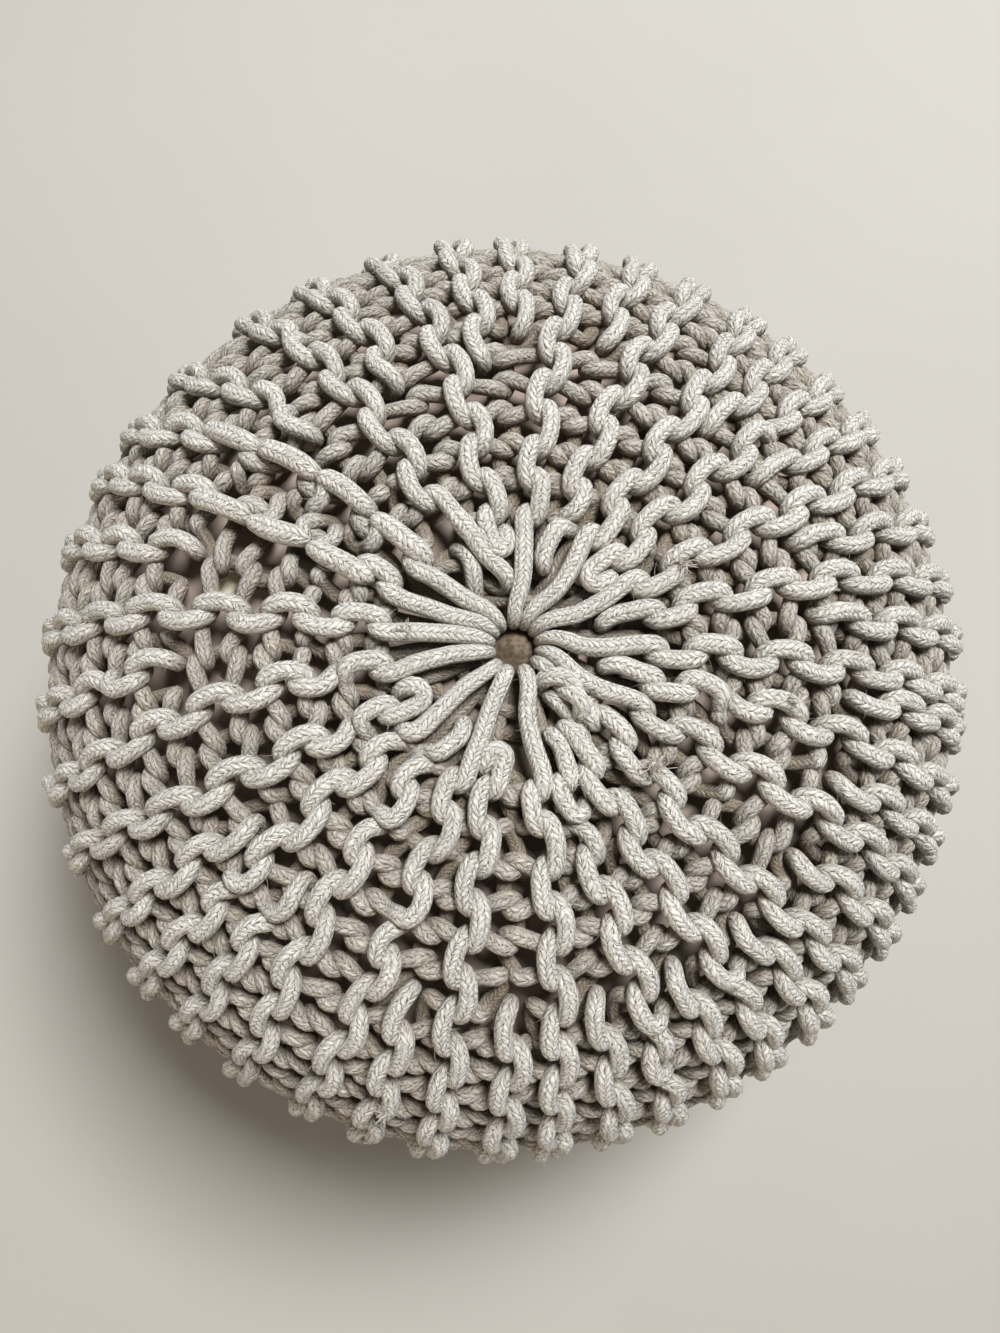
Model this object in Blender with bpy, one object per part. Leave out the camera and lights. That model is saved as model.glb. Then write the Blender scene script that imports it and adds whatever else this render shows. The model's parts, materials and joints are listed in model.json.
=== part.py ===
"""Round floor pouf: a knitted cord cover drawn in at both ends over a plump filled casing.

The cover is knitted sideways, so its ridges run from the small eye in the top, over the shoulder and
the side, to a like eye underneath. Thirteen cords reach each eye, twenty-four ridges cross the top,
and short rows add twenty-one more for the side. The knit opens between the ridges of the top and the
underside, and the casing shows in those gaps. Metres, +Z up, standing on z = 0.
"""

import math

import bmesh
import bpy
import numpy as np
from mathutils import Vector

# Driving sizes
WIDTH = 0.50
HEIGHT = 0.34
WIDEST_HEIGHT = 0.16
TOP_SQUARENESS = 2.6
BASE_SQUARENESS = 2.8
PRESSED_FLAT = 0.014
PRESSED_BLEND = 0.006
DIP_DEPTH = 0.012
DIP_RADIUS = 0.06
EYE_RADIUS = 0.0085
EYE_LIP = 0.005
TOP_LEAN = 0.0115
CORD = 0.010
KNIT_THICKNESS = 0.020
EDGE_THICKNESS = 0.013
CLEARANCE = 0.0004

# Ridges across the top, by their angle in degrees, clockwise from +X as seen from above. A ridge that
# starts at the eye has an angle there; the others start at the ring of spoke ends.
NO_SPOKE = None
LONG_RIDGES = (
    # eye, top, side
    (-0.4, 1.5, 3.5),
    (NO_SPOKE, 13.0, 15.5),
    (26.3, 27.5, 28.5),
    (38.0, 45.5, 42.0),
    (NO_SPOKE, 58.0, 55.5),
    (NO_SPOKE, 70.0, 69.5),
    (81.4, 82.0, 84.0),
    (NO_SPOKE, 100.0, 98.5),
    (112.8, 112.5, 114.0),
    (NO_SPOKE, 127.5, 123.0),
    (142.3, 141.5, 139.0),
    (NO_SPOKE, 155.0, 156.5),
    (173.9, 172.0, 165.5),
    (192.2, 189.0, 185.0),
    (206.7, 207.5, 206.0),
    (224.3, 222.5, 213.5),
    (NO_SPOKE, 240.5, 234.5),
    (NO_SPOKE, 259.5, 253.5),
    (276.0, 276.0, 280.5),
    (NO_SPOKE, 291.0, 296.5),
    (305.6, 305.5, 305.0),
    (NO_SPOKE, 317.5, 319.0),
    (331.4, 332.5, 333.5),
    (NO_SPOKE, 345.5, 349.0),
)
# Short ridges only cross the side, at these angles.
SHORT_RIDGES = (
    8.0, 22.0, 35.0, 48.5, 62.0, 76.5, 90.5, 106.5, 131.5, 147.0, 175.5,
    196.5, 223.0, 243.5, 263.0, 271.0, 288.5, 312.0, 326.0, 341.0, 356.0,
)  # fmt: skip

# Distances along the surface from the middle of the top, or of the base
SPOKE_END = 0.042
SHORT_START = 0.146
TOP_MIDDLE = 0.10
SIDE_MIDDLE = 0.22

# Rings of points from each end to the middle of the side
SPOKE_RINGS = 3
SIDE_RINGS = 6
INNER_SIDE_RINGS = 4

# Gaps in the knit, one in each valley of the long ridges at each of these distances from an end
GAPS = (
    # distance, length, most width
    (0.077, 0.013, 0.0075),
    (0.104, 0.013, 0.0095),
    (0.131, 0.012, 0.0095),
)

OATMEAL_CORD = (0.56, 0.51, 0.44, 1.0)
BEIGE_LINING = (0.50, 0.41, 0.33, 1.0)


def meridian(samples=1200):
    """Distance, radius, height and outward normal down the crest line, from the top to the base."""
    turn = np.linspace(0.0, math.pi / 2, samples)
    radius = WIDTH / 2 * np.sin(turn) ** (2 / TOP_SQUARENESS)
    height = WIDEST_HEIGHT + (HEIGHT - WIDEST_HEIGHT) * np.cos(turn) ** (2 / TOP_SQUARENESS)
    height = height - DIP_DEPTH * np.exp(-((radius / DIP_RADIUS) ** 2))
    radius_below = WIDTH / 2 * np.sin(turn) ** (2 / BASE_SQUARENESS)
    sunk = WIDEST_HEIGHT - (WIDEST_HEIGHT + PRESSED_FLAT) * np.cos(turn) ** (2 / BASE_SQUARENESS)
    blended = (np.clip(sunk, -PRESSED_BLEND, PRESSED_BLEND) + PRESSED_BLEND) ** 2
    height_below = np.where(sunk > PRESSED_BLEND, sunk, blended / (4 * PRESSED_BLEND))
    radius = np.concatenate([radius, radius_below[-2::-1]])
    height = np.concatenate([height, height_below[-2::-1]])
    run = np.hypot(np.diff(radius), np.diff(height))
    distance = np.concatenate([[0.0], np.cumsum(run)])
    across, down = np.gradient(radius, distance), np.gradient(height, distance)
    length = np.hypot(across, down)
    return distance, radius, height, -down / length, across / length


MERIDIAN = meridian()
FULL_LENGTH = float(MERIDIAN[0][-1])


def surface(distance, angle, depth):
    """Points at a distance down the crest line, an angle in degrees and a depth under it."""
    radius, height, out, up = (np.interp(distance, MERIDIAN[0], line) for line in MERIDIAN[1:])
    radius = radius - depth * out
    height = height - depth * up
    rise = np.clip((height - WIDEST_HEIGHT) / (HEIGHT - WIDEST_HEIGHT), 0.0, 1.0)
    shift = TOP_LEAN * rise**2 * (3 - 2 * rise)
    turned = -np.radians(angle)
    across, along = radius * np.cos(turned) + shift, radius * np.sin(turned)
    return np.stack(np.broadcast_arrays(across, along, height), axis=-1)


def from_end(distance):
    """The shorter way along the surface to the middle of the top or of the base."""
    return min(distance, FULL_LENGTH - distance)


def long_angles(distance):
    """Angles of the twenty-four long ridges at this distance, in order round the pouf."""
    bends = (SPOKE_END * 0.6, TOP_MIDDLE, SIDE_MIDDLE)
    rows = [(top if eye is None else eye, top, side) for eye, top, side in LONG_RIDGES]
    return np.array([np.interp(from_end(distance), bends, row) for row in rows])


def ridge_angles(distance):
    """Angles of the ridges that cross the ring at this distance."""
    reach = from_end(distance)
    angles = long_angles(distance)
    if reach < SPOKE_END:
        return angles[[row[0] is not None for row in LONG_RIDGES]]
    if reach > SHORT_START:
        return np.sort(np.concatenate([angles, SHORT_RIDGES]))
    return angles


def spacing(angles, distance):
    """Turn in degrees, and width along the ring, from each ridge to the next."""
    turns = np.mod(np.roll(angles, -1) - angles, 360.0)
    return turns, np.radians(turns) * np.interp(distance, MERIDIAN[0], MERIDIAN[1])


def thickness(distance):
    """Depth of the cover's inner face, less where its cords come together at an eye."""
    ends = (EYE_RADIUS, SPOKE_END * 2)
    return float(np.interp(from_end(distance), ends, (EDGE_THICKNESS, KNIT_THICKNESS)))


def valley_edges(distance):
    """Angles of the two edges of each gap between long ridges, and half the gap's width in degrees."""
    angles = long_angles(distance)
    turns, widths = spacing(angles, distance)
    most = np.interp(from_end(distance), [gap[0] for gap in GAPS], [gap[2] for gap in GAPS])
    half = turns * np.minimum(most / 2, 0.19 * widths) / widths
    middles = angles + turns / 2
    return middles - half, middles + half


def outer_ring(distance):
    """Angles and points of one ring: each ridge has a crest and two flanks, then a valley."""
    angles = ridge_angles(distance)
    turns, widths = spacing(angles, distance)
    flank_after = turns * np.minimum(CORD, 0.27 * widths) / widths
    flank_before = np.roll(turns, 1) * np.minimum(CORD, 0.27 * np.roll(widths, 1)) / np.roll(widths, 1)
    standing = float(np.interp(surface(distance, 0.0, 0.0)[2], (0.0, 0.02), (0.0, 1.0)))
    flank_depth = 0.0022 * standing * np.minimum(1.0, widths / (2 * CORD))
    valley_depth = np.minimum(1.1 * CORD, 0.4 * widths)
    columns = [(angles - flank_before, flank_depth), (angles, 0 * angles), (angles + flank_after, flank_depth)]
    if len(angles) == len(LONG_RIDGES):
        columns += [(edge, valley_depth) for edge in valley_edges(distance)]
    else:
        columns.append((angles + turns / 2, valley_depth))
    turned = np.stack([column[0] for column in columns], axis=1).ravel()
    lip = EYE_LIP * math.exp(-(from_end(distance) - EYE_RADIUS) / 0.003)
    depths = np.stack([column[1] for column in columns], axis=1).ravel() + lip
    return turned, surface(distance, turned, depths)


def inner_ring(distance, extra=0.0):
    """Angles and points of one ring of a smooth face under the knit, with a column at each gap's edge."""
    turned = np.stack(valley_edges(distance), axis=1).ravel()
    return turned, surface(distance, turned, thickness(distance) + extra)


def zipped(first, second, first_at, second_at, open_columns=()):
    """Faces between two rings: quads where their points pair up, else triangles taken in angle order."""
    count, other = len(first), len(second)
    if count == other:
        pairs = [(i, (i + 1) % count) for i in range(count) if i not in open_columns]
        return [(first_at + i, first_at + j, second_at + j, second_at + i) for i, j in pairs]
    faces = []
    i = j = 0
    first = np.append(first, first[0] + 360.0)
    second = np.append(second, second[0] + 360.0)
    while i < count or j < other:
        here, there = first_at + i % count, second_at + j % other
        if j == other or (i < count and first[i + 1] <= second[j + 1]):
            faces.append((here, first_at + (i + 1) % count, there))
            i += 1
        else:
            faces.append((here, second_at + (j + 1) % other, there))
            j += 1
    return faces


def gap_edges():
    """Distances from an end of the two edges of each gap, nearest first."""
    return np.array([(at - length / 2, at + length / 2) for at, length, _ in GAPS]).ravel()


def outer_distances():
    """Where the outer rings lie: close on the top and the base, wider apart down the side."""
    spokes = np.linspace(EYE_RADIUS, SPOKE_END - 0.002, SPOKE_RINGS)
    share = np.linspace(0.0, 1.0, SIDE_RINGS + 1) ** 1.2
    start = SHORT_START + 0.004
    side = start + (FULL_LENGTH / 2 - start) * share
    top = np.concatenate([spokes, [SPOKE_END + 0.005], gap_edges(), side])
    return np.concatenate([top, FULL_LENGTH - top[-2::-1]])


def inner_distances():
    """Where the rings of the cover's inner face and of the casing lie."""
    start = SHORT_START + 0.008
    side = np.linspace(start, FULL_LENGTH / 2, INNER_SIDE_RINGS + 1)
    top = np.concatenate([[EYE_RADIUS + 0.001, SPOKE_END], gap_edges(), side])
    return np.concatenate([top, FULL_LENGTH - top[-2::-1]])


def cover(collection):
    """The knitted cover: one closed skin, ribbed outside, smooth inside, open at both eyes and the gaps."""
    outer_at = outer_distances()
    inner_at = inner_distances()[::-1]
    rings = [outer_ring(at) for at in outer_at] + [inner_ring(at) for at in inner_at]
    distances = np.concatenate([outer_at, inner_at])
    starts = np.concatenate([[0], np.cumsum([len(ring[0]) for ring in rings])])
    points = [tuple(point) for ring in rings for point in ring[1]]
    gap_spans = [(at - length / 2, at + length / 2) for at, length, _ in GAPS]
    gap_spans += [(FULL_LENGTH - far, FULL_LENGTH - near) for near, far in gap_spans]
    corners = {}
    faces = []
    for k, (turns, _) in enumerate(rings):
        after = (k + 1) % len(rings)
        span = sorted((distances[k], distances[after]))
        which = [g for g, gap in enumerate(gap_spans) if np.allclose(span, gap, atol=1e-6)]
        open_columns = ()
        if which:
            columns = len(turns) // len(LONG_RIDGES)
            open_columns = range(columns - 2, len(turns), columns)
            for valley, i in enumerate(open_columns):
                edge = [starts[k] + i, starts[k] + i + 1, starts[after] + i + 1, starts[after] + i]
                corners.setdefault((which[0], valley), []).append(edge)
        faces += zipped(turns, rings[after][0], starts[k], starts[after], open_columns)
    for outside, inside in corners.values():
        inside = [inside[3], inside[2], inside[1], inside[0]]
        for i in range(4):
            j = (i + 1) % 4
            faces.append((outside[i], outside[j], inside[j], inside[i]))
    mesh = bpy.data.meshes.new("knit_cover")
    mesh.from_pydata(points, [], [tuple(map(int, face)) for face in faces])
    mesh.update()
    obj = bpy.data.objects.new("knit_cover", mesh)
    collection.objects.link(obj)
    return obj


def casing(collection):
    """The filled casing: a sphere whose rings and columns are moved to lie just inside the cover."""
    mesh = bpy.data.meshes.new("filled_casing")
    at = inner_distances()
    rings = len(at) + 1
    columns = 2 * len(LONG_RIDGES)
    shape = bmesh.new()
    bmesh.ops.create_uvsphere(shape, u_segments=columns, v_segments=rings, radius=1.0)
    for vert in shape.verts:
        ring = round(math.degrees(vert.co.angle(Vector((0, 0, 1)))) / 180 * rings)
        if ring in (0, rings):
            end = 0.0 if ring == 0 else FULL_LENGTH
            vert.co = surface(end, 0.0, thickness(end) + CLEARANCE)
            continue
        turned, points = inner_ring(float(at[ring - 1]), CLEARANCE)
        column = round(-math.degrees(math.atan2(vert.co.y, vert.co.x)) / 360 * columns) % columns
        vert.co = points[column]
    shape.to_mesh(mesh)
    shape.free()
    obj = bpy.data.objects.new("filled_casing", mesh)
    collection.objects.link(obj)
    return obj


def coated(obj, name, colour, roughness):
    """Give the object a plain material."""
    material = bpy.data.materials.new(name)
    material.use_nodes = True
    shader = material.node_tree.nodes["Principled BSDF"]
    shader.inputs["Base Color"].default_value = colour
    shader.inputs["Roughness"].default_value = roughness
    shader.inputs["Metallic"].default_value = 0.0
    material.diffuse_color = colour
    obj.data.materials.append(material)
    obj.data.shade_smooth()
    obj.data.set_sharp_from_angle(angle=math.radians(40))


def main():
    for old in list(bpy.data.objects):
        bpy.data.objects.remove(old, do_unlink=True)
    pouf = bpy.data.collections.new("knitted_pouf")
    bpy.context.scene.collection.children.link(pouf)
    knit = cover(pouf)
    coated(knit, "oatmeal_cotton_cord", OATMEAL_CORD, 0.9)
    filled = casing(pouf)
    coated(filled, "beige_casing_cloth", BEIGE_LINING, 0.85)


main()
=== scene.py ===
"""Looks of the knitted floor pouf: a garter-stitch cover of braided cotton cord over a filled casing."""
import functools
import json
import math

import bpy
import numpy as np
from bpy.props import FloatProperty, FloatVectorProperty, IntProperty, PointerProperty
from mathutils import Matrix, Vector

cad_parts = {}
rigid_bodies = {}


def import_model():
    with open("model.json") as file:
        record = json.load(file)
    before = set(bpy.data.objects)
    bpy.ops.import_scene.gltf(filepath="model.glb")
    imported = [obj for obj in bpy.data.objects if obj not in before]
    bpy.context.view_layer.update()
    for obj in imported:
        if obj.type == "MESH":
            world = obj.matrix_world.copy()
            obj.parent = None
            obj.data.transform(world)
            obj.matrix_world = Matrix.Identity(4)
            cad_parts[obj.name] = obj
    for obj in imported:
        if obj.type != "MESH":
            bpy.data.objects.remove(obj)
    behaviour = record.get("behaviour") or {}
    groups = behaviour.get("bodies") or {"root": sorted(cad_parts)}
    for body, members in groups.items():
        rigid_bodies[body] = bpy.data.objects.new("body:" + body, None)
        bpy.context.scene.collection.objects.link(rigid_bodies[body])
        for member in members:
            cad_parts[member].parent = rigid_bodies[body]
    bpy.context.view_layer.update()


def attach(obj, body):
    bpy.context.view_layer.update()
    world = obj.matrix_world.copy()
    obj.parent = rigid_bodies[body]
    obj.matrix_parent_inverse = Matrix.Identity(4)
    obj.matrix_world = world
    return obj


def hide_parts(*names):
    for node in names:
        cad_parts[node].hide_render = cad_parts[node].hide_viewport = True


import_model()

bl_info = {
    "name": "Knitted floor pouf",
    "version": (1, 0, 0),
    "blender": (4, 5, 0),
    "location": "3D View > Sidebar > Pouf",
    "description": "Garter-stitch cord cover, filled casing, knot and loose ends, and a plain studio",
    "category": "Object",
}

# The pouf's own form, as in its solids, in metres.
WIDTH, HEIGHT, WIDEST_HEIGHT = 0.50, 0.34, 0.16
TOP_SQUARENESS, BASE_SQUARENESS = 2.6, 2.8
PRESSED_FLAT, PRESSED_BLEND = 0.014, 0.006
DIP_DEPTH, DIP_RADIUS, TOP_LEAN = 0.012, 0.06, 0.0115

# The ridges: clockwise angles in degrees seen from above. A spoke has one at the eye's rim and one just
# outside it, and like every long ridge one on top and one at the side. A short ridge has one at the side.
LONG_RIDGES = (
    (-15.4, -0.4, 1.5, 3.5), (13, 15.5), (10, 26.3, 27.5, 28.5), (35, 38, 45.5, 42), (58, 55.5), (70, 69.5),
    (69, 81.4, 82, 84), (100, 98.5), (110, 112.8, 112.5, 114), (127.5, 123), (136, 142.3, 141.5, 139),
    (155, 156.5), (169, 173.9, 172, 165.5), (192.5, 192.2, 189, 185), (216, 206.7, 207.5, 206),
    (236.5, 224.3, 222.5, 213.5), (240.5, 234.5), (259.5, 253.5), (268, 276, 276, 280.5), (291, 296.5),
    (293.5, 305.6, 305.5, 305), (317.5, 319), (319, 331.4, 332.5, 333.5), (345.5, 349),
)
SHORT_RIDGES = (
    8, 22, 35, 48.5, 62, 76.5, 90.5, 106.5, 131.5, 147, 175.5,
    196.5, 223, 243.5, 263, 271, 288.5, 312, 326, 341, 356,
)
SET_DISTANCES = (0.014, 0.027, 0.1, 0.22)
SPOKE, MEDIUM, SHORT = 0, 1, 2

# The stitches, in metres along a ridge.
FIRST_STITCH, STITCHES, STRETCH, SHORT_START = 0.051, 17, 0.08, 6
LAST = 2 * STITCHES
MIDDLE_DEPTH = 0.0103
FRONT_OFFSET, BACK_OFFSET, VALLEY_DROP, ARC_TILT = 0.0044, 0.0018, 0.0028, 0.07
# Half an arc, from its middle to where it dives under the other row: along, across in offsets, up. It is
# drawn for a stitch and a gap of these sizes, and an offset is at most this share of the gap.
ARC = np.array([
    (0, 1.22, 0.0052), (0.004, 1, 0.0052), (0.0076, 0.46, 0.0044), (0.0102, -0.14, 0.0005),
    (0.0098, -1.02, -0.0042),
])
ARC_STITCH, ARC_GAP, MOST_OFFSET = 0.033, 0.026, 0.17
GAP_START = 0.03  # a gap is measured no nearer to a pole than this
# How firmly the places along an arc in front are held.
ARC_HOLD = np.array([0, 0.3, 0.8, 1, 1, 1, 0.8, 0.3, 0])
STITCH_SPREAD = 0.0009  # how far an arc's middle strays from its place
# Middle and spread of the chance in an arc's width, its shifts across and up, and its lean.
ARC_CHANCE = ((1, 0.04), (0, 0.0006), (0, 0.0005), (0, 0.05))
# How a medium or short ridge's cord dives under its first arc: along from there, across in offsets, up,
# hold.
DIVE = np.array([
    (-0.007, 1, 0.0048, 1), (-0.012, 0.6, 0.0036, 1), (-0.015, 0.1, 0.0002, 1),
    (-0.014, 0, -0.0045, 0.5), (-0.009, 0.8, -0.006, 0),
])
# How a spoke runs: distance from the pole, across, up, hold. In over the top, down through the eye, back
# out beneath.
SPOKE_PATH = np.array([
    (0.043, -0.0012, 0.0054, 2.5), (0.033, -0.0003, 0.0058, 3), (0.025, 0, 0.006, 3), (0.019, 0, 0.006, 3),
    (0.015, 0, 0.0054, 3), (0.0121, 0, 0.0034, 3), (0.0102, 0, -0.0006, 3), (0.0101, -0.0002, -0.0052, 3),
    (0.014, -0.001, -0.007, 3), (0.021, -0.003, -0.0069, 1.5), (0.029, -0.006, -0.0066, 1),
    (0.04, -0.0072, -0.006, 0.5),
])
KNOTTED = 35.0  # the spoke, by its angle at the eye's rim, that dives under the knot on its way to the eye
KNOT_PATH = np.concatenate([[
    (0.045, -0.002, 0.0034, 2), (0.037, -0.002, -0.0036, 2.5), (0.027, -0.001, -0.0034, 3),
    (0.0195, 0, 0.0028, 3), (0.015, 0, 0.0052, 3),
], SPOKE_PATH[5:]])
# The knot's three strands, then two that lie deep behind the slanting start, in millimetres from the eye's
# middle: right and down as seen from above, and up. Each goes over the top and back beneath.
LOOSE_STRANDS = (
    ((9.4, 16.6, -2.5), (10.8, 14.6, 3.5), (13.8, 13.4, 7.6), (17.6, 13.2, 9.4), (21.8, 14, 9.2),
     (25.2, 16.2, 6.4), (26.8, 19.2, 0.4), (24.5, 18.5, -5.5), (18, 16.5, -6.6), (12, 16.5, -6.2)),
    ((18.2, 16.2, 1), (20.4, 18, 5.6), (23.6, 19.6, 9.2), (26.6, 21.8, 9.6), (27.6, 25, 6.8),
     (25.8, 27.8, 1), (22.5, 25, -5.5), (19, 19.5, -6.4), (17.2, 16, -3)),
    ((13.2, 18.6, -3), (15, 20.6, 2), (18, 23, 3.6), (21.8, 26.6, 1.6), (25.2, 31.4, 0.6),
     (27.6, 36.2, 0.6), (29, 41, -0.6), (28, 43, -5), (24.5, 36.5, -6.8), (20, 28, -6.6),
     (15, 20.5, -6.4)),
    ((-25.5, -44, -3), (-21.5, -42, 1.4), (-18.4, -37, 2.6), (-17.6, -31, 2.2), (-17, -25.5, 1),
     (-15.8, -21.5, -3), (-17.4, -27, -6.6), (-20, -36, -6.8), (-24, -42, -6.4)),
    ((-34, -35, -3.6), (-28, -36.5, -3.4), (-22, -37, -4.2), (-15, -37, -4.2),
     (-9.5, -39, -4.2), (-11.5, -41.5, -6.8), (-20, -43, -6.8), (-29, -41, -6.8)),
)
# How a medium ridge's cord comes up into its first arc, where it doesn't simply dive under it. A hook curls
# over beside the arc; the slant is one long stitch from near the eye. By the ridge's angle on top, with the
# arc that it starts at.
HOOK = np.array([
    (0.053, 0.001, -0.0064, 0.3), (0.0538, 0.004, -0.003, 0.8), (0.0512, 0.0052, 0.0018, 1.5),
    (0.0468, 0.0052, 0.0046, 2), (0.0428, 0.0028, 0.0054, 2), (0.0424, -0.0014, 0.0056, 2),
    (0.0455, -0.0046, 0.0054, 1.5),
])
SLANT = np.array([
    (0.06, 0.0066, 0.0054, 1.5), (0.051, 0.0086, 0.0057, 2), (0.043, 0.0106, 0.0057, 2),
    (0.035, 0.0122, 0.0052, 2), (0.0295, 0.0128, 0.0034, 2), (0.0258, 0.0108, -0.0014, 1.5),
    (0.0252, 0.0072, -0.0056, 1), (0.032, 0.004, -0.0066, 0.5), (0.045, 0, -0.0064, 0.2),
])
STARTS = {100.0: (0, HOOK), 155.0: (0, HOOK), 259.5: (0, HOOK), 317.5: (0, HOOK), 240.5: (1, SLANT)}
# Cut ends that have frayed: distance, clockwise angle, which way they lie, length, and how many yarns.
FRAYED_ENDS = (
    (0.0745, 42, 200, 0.011, 34), (0.064, 68, 40, 0.006, 16), (0.227, 104, 70, 0.008, 20),
    (0.082, 333, 120, 0.009, 24), (0.045, 190, 150, 0.006, 14), (0.118, 12, 250, 0.006, 14),
)
# The fuzz and the frayed yarns: how long, how thick, and how far they curl.
FUZZ_LENGTHS, FUZZ_THICKNESS, FUZZ_CURL = (0.0025, 0.0065), (0.00016, 0.00028), 0.6
FRAY_THICKNESS, FRAY_CURL = 0.0008, 0.35
# Where a seam joins the two ends of the knitting: a ridge's angle at the side, the row that forms it, from
# where to where. There the row's front arcs are wide, straight and raised, its back arcs are narrow, and
# the other row's front arcs lie low.
SEAMS = {213.5: (0, 0.058, 0.175), 206.0: (1, 0.074, 0.165)}
SEAM_FRONT_WIDTH, SEAM_BACK_WIDTH, SEAM_OFFSET, SEAM_HOLD = 1.4, 0.6, 0.25, 1.9
SEAM_RISE, BESIDE_SEAM_DROP = 0.0022, -0.0060
# The eye's middle lies this far off the pole, a shift that begins at this distance and grows over this run.
# Then the rim's radius, a spoke cord's radius as a share of its part of the rim, and its least and most.
EYE_SHIFT, SHIFT_FROM, SHIFT_OVER = 0.0022, 0.040, 0.025
RIM, RIM_FILL, RIM_THINNEST, RIM_THICKEST = 0.0112, 0.53, 0.0028, 0.0036
PALE_SPOT = (-0.122, 0.038, 0.300)  # where undyed cloth of the casing shows through the knit

# The cord: its radius deep down, on the fronts, in the loose strands and in the gathers, and how far those
# wander. Then how it is sampled, where it may lie under the crests, and how the cords settle.
DEEP_RADIUS, FRONT_RADIUS, LOOSE_RADIUS, GATHER_RADIUS, GATHER_WANDER = 0.0035, 0.0042, 0.0046, 0.003, 0.0011
STEP, STRAIGHT_STEP, BEND_STEP = 0.0036, 0.0070, 0.48
TUBE_SIDES = 10
FRONT_LIMIT, BACK_LIMIT = 0.0046, 0.0172
REACH, SAME_CORD, SOFTNESS, LENGTH_KEPT, LUMPINESS = 0.0125, 4, 0.84, 0.94, 0.018
CROWDED, PULL, EVENING, LAST_EVENING = 1.6, 0.36, 0.08, 0.25
BRAID_PITCH, BRAID_COLUMNS = 0.0028, 8.0
PANELS = 6

# The casing: the bell that it makes in the eye, and its cloth simulation.
CROWN_HEIGHT, CROWN_SPREAD = 0.0116, 0.0075
VOXEL, PRESSURE, FRAMES = 0.009, 4.0, 20

# The stage: each light's place, size, power and tint, then the camera, the floor and the soft surround.
LIGHTS = {
    "window_light": ((0.84, 1.16, 2.75), 1.0, 141, "F6FAFF"),
    "fill_light": ((-1.7, -2.35, 0.98), 1.5, 38, "FFF3E2"),
}
CAMERA_PLACE, CAMERA_TILT, LENS = (0.0045, -0.061, 0.746), 7.3, 27.0
FLOOR_REACH, FLOOR_SQUARES, FLOOR_MOTTLE = 3.0, 8, "B1ABA1"
SURROUND, SURROUND_STRENGTH = "FFFDFA", 0.10


def linear(code):
    """sRGB hex digits as linear red, green, blue and alpha 1."""
    values = (int(code[i:i + 2], 16) / 255 for i in (0, 2, 4))
    return (*(v / 12.92 if v <= 0.04045 else ((v + 0.055) / 1.055) ** 2.4 for v in values), 1.0)


# The pouf's surface.

def stacked(*parts):
    return np.stack(np.broadcast_arrays(*parts), axis=-1)


def smooth_step(share):
    share = np.clip(share, 0.0, 1.0)
    return share * share * (3 - 2 * share)


def unit(vectors):
    return vectors / np.maximum(np.linalg.norm(vectors, axis=-1, keepdims=True), 1e-12)


def meridian(samples=1200):
    """Half outline from the top pole to the bottom: two superellipse quarters that meet at the widest
    height, a bell-shaped dip at the eye and a flat pressed underside. Gives distance, radius, height, and
    the outward direction at each point."""
    turn = np.linspace(0.0, math.pi / 2, samples)
    radius = WIDTH / 2 * np.sin(turn) ** (2 / TOP_SQUARENESS)
    height = WIDEST_HEIGHT + (HEIGHT - WIDEST_HEIGHT) * np.cos(turn) ** (2 / TOP_SQUARENESS)
    height = height - DIP_DEPTH * np.exp(-((radius / DIP_RADIUS) ** 2))
    radius_below = WIDTH / 2 * np.sin(turn) ** (2 / BASE_SQUARENESS)
    sunk = WIDEST_HEIGHT - (WIDEST_HEIGHT + PRESSED_FLAT) * np.cos(turn) ** (2 / BASE_SQUARENESS)
    blended = (np.clip(sunk, -PRESSED_BLEND, PRESSED_BLEND) + PRESSED_BLEND) ** 2
    height_below = np.where(sunk > PRESSED_BLEND, sunk, blended / (4 * PRESSED_BLEND))
    radius = np.concatenate([radius, radius_below[-2::-1]])
    height = np.concatenate([height, height_below[-2::-1]])
    distance = np.concatenate([[0.0], np.cumsum(np.hypot(np.diff(radius), np.diff(height)))])
    across, down = np.gradient(radius, distance), np.gradient(height, distance)
    length = np.hypot(across, down)
    return distance, radius, height, -down / length, across / length


MERIDIAN = meridian()
FULL = float(MERIDIAN[0][-1])
PITCH = (FULL - 2 * FIRST_STITCH) / STITCHES
GATHERS = ((0.0230, -0.0070), (0.0340, -0.0072), (FULL - 0.0240, -0.0070), (FULL - 0.0350, -0.0072))


def stitch_at(arc):
    """How far down an arc's middle lies, two arcs to a stitch: even steps, drawn together by a sine towards
    both ends."""
    share = arc / LAST
    return FIRST_STITCH + PITCH * STITCHES * (share - STRETCH * np.sin(2 * np.pi * share) / (2 * np.pi))


def on_meridian(distance, line):
    return np.interp(distance, MERIDIAN[0], MERIDIAN[line])


def surface(distance, angle, depth):
    """The point that far down the meridian from the top pole, at that clockwise angle, that deep under the
    crests. The top leans a little towards +X, by a smooth step of the height."""
    radius = on_meridian(distance, 1) - depth * on_meridian(distance, 3)
    height = on_meridian(distance, 2) - depth * on_meridian(distance, 4)
    shift = TOP_LEAN * smooth_step((height - WIDEST_HEIGHT) / (HEIGHT - WIDEST_HEIGHT))
    turned = -np.radians(angle)
    return stacked(radius * np.cos(turned) + shift, radius * np.sin(turned), height)


def outward(distance, angle):
    turned = -np.radians(angle)
    out, up = on_meridian(distance, 3), on_meridian(distance, 4)
    return unit(stacked(out * np.cos(turned), out * np.sin(turned), up))


def from_end(distance):
    return np.minimum(distance, FULL - distance)


# Where the ridges run.

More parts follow.
